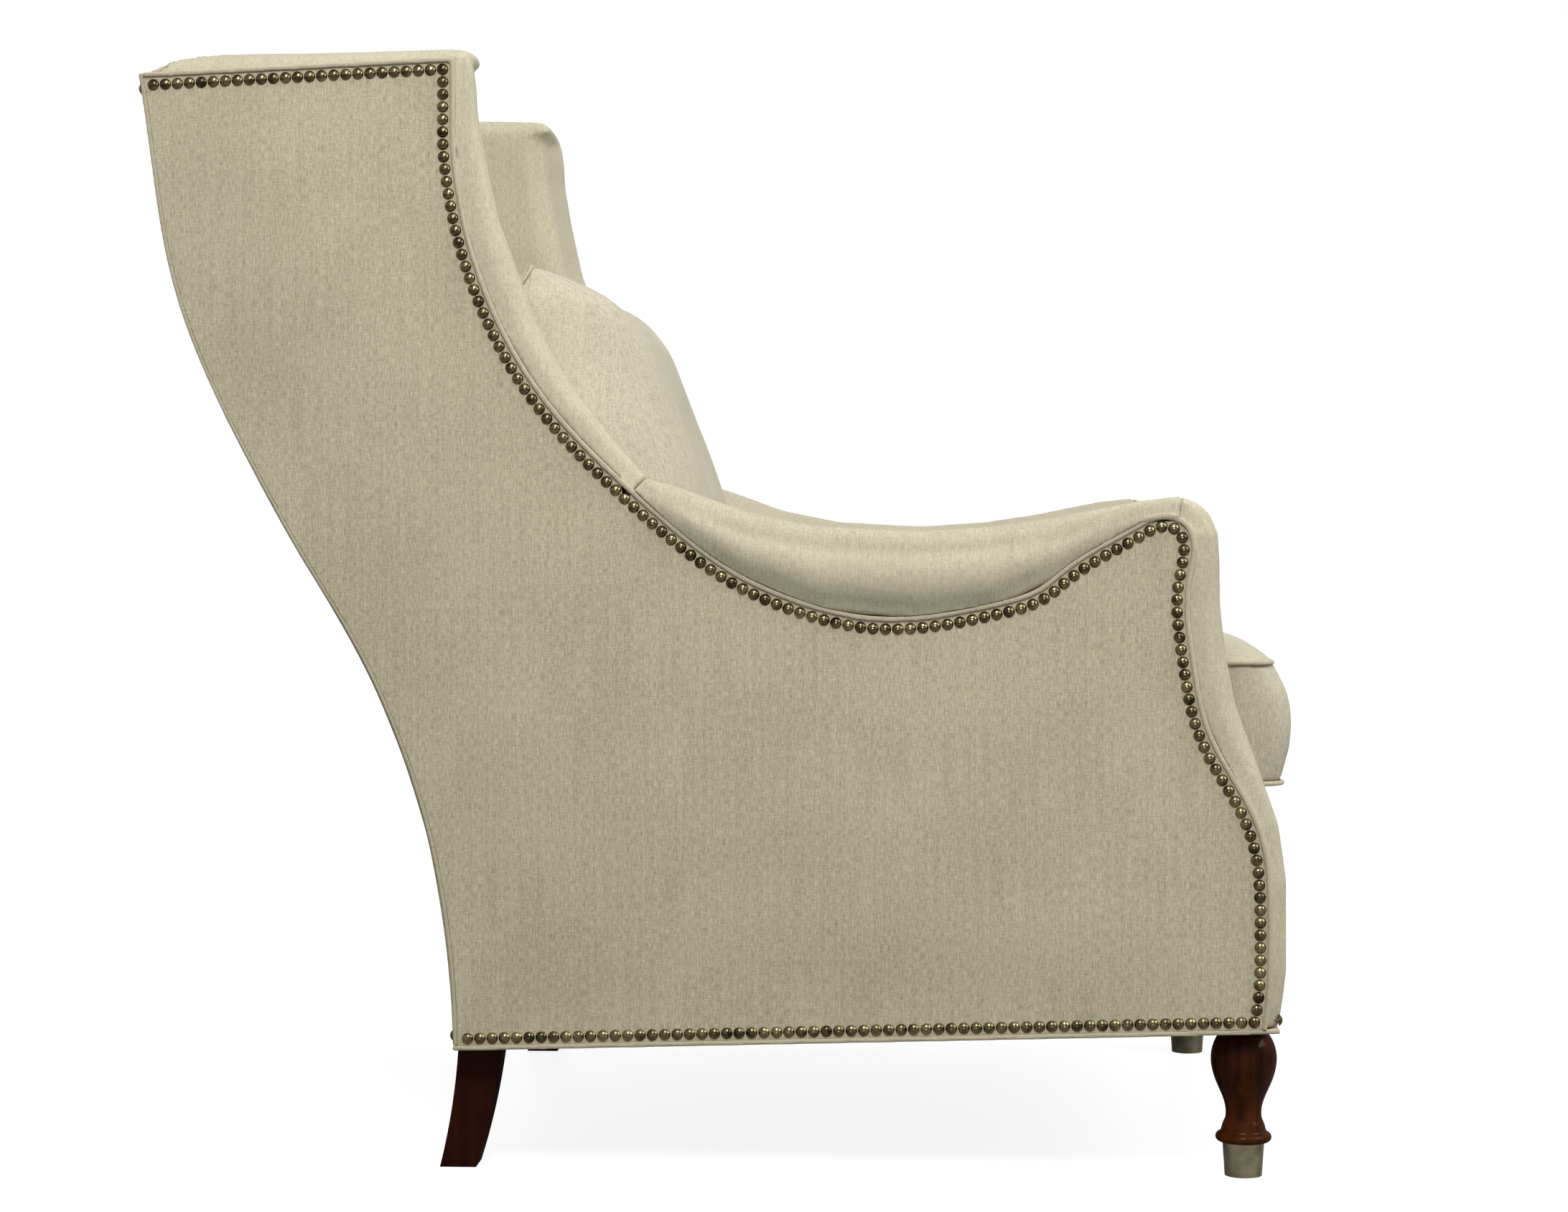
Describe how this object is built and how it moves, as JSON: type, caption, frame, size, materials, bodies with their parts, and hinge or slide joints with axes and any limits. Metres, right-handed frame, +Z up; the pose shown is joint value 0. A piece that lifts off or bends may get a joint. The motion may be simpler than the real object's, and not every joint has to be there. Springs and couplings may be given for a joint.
{
  "type": "upholstered wingback armchair",
  "caption": "Wingback armchair in pale linen with scooped arms, nail trim, loose seat and back cushions, turned front legs with metal ferrules and sabre back legs",
  "frame": {"origin": "on the floor under the centre of the chair's plan", "axes": "+Z up, the chair faces -Y, and the sitter's right is -X"},
  "size_m": [0.7948, 1.1066, 1.077],
  "materials": {
    "panel_fabric": "woven linen, fine plain weave",
    "cover_fabric": "woven linen over padding",
    "core_filling": "foam wrapped in fibre",
    "dust_cloth": "black spun cloth",
    "webbing": "jute webbing",
    "frame_wood": "planed hardwood",
    "leg_wood": "dark stained and polished mahogany",
    "ferrule_metal": "brushed antique metal",
    "nail_brass": "antique brass",
    "steel": "plain steel",
    "clip_steel": "plain pressed steel"
  },
  "bodies": {
    "chair_frame": {"outside_side_right": "panel_fabric", "outside_side_left": "panel_fabric", "side_welt_right": "cover_fabric", "side_welt_left": "cover_fabric", "inside_wing_right": "cover_fabric", "inside_wing_left": "cover_fabric", "inside_arm_right": "cover_fabric", "inside_arm_left": "cover_fabric", "arm_front_right": "cover_fabric", "arm_front_left": "cover_fabric", "front_post_right": "frame_wood", "front_post_left": "frame_wood", "wing_post_right": "frame_wood", "wing_post_left": "frame_wood", "arm_rail_right": "frame_wood", "arm_rail_left": "frame_wood", "back_post_right": "frame_wood", "back_post_left": "frame_wood", "wing_top_rail_right": "frame_wood", "wing_top_rail_left": "frame_wood", "side_rail_right": "frame_wood", "side_rail_left": "frame_wood", "front_leg_right": "leg_wood", "front_leg_left": "leg_wood", "front_ferrule_right": "ferrule_metal", "front_ferrule_left": "ferrule_metal", "back_leg_right": "leg_wood", "back_leg_left": "leg_wood", "side_nails_right": "nail_brass", "side_nails_left": "nail_brass", "front_rail": "frame_wood", "back_rail": "frame_wood", "stay_rail": "frame_wood", "crest_rail": "frame_wood", "corner_blocks": "frame_wood", "block_screws": "steel", "seat_springs": "steel", "spring_clips": "clip_steel", "seat_deck": "cover_fabric", "back_webbing": "webbing", "inside_back": "cover_fabric", "outside_back": "panel_fabric", "back_welt": "cover_fabric", "base_welt": "cover_fabric", "front_border": "panel_fabric", "dust_cover": "dust_cloth", "front_nails": "nail_brass", "back_nails": "nail_brass", "leg_bolts": "steel"},
    "seat_cushion_body": {"seat_cushion": "cover_fabric", "seat_cushion_core": "core_filling", "seat_cushion_welts": "cover_fabric"},
    "back_cushion_body": {"back_cushion": "cover_fabric", "back_cushion_core": "core_filling", "back_cushion_welts": "cover_fabric"}
  },
  "joints": [
    {"name": "seat_cushion_slide", "type": "slide", "parent": "chair_frame", "child": "seat_cushion_body", "axis": [0, -1, 0], "range_m": [0, 0.6]},
    {"name": "back_cushion_lift", "type": "slide", "parent": "chair_frame", "child": "back_cushion_body", "axis": [0, 0, 1], "range_m": [0, 0.5]}
  ]
}
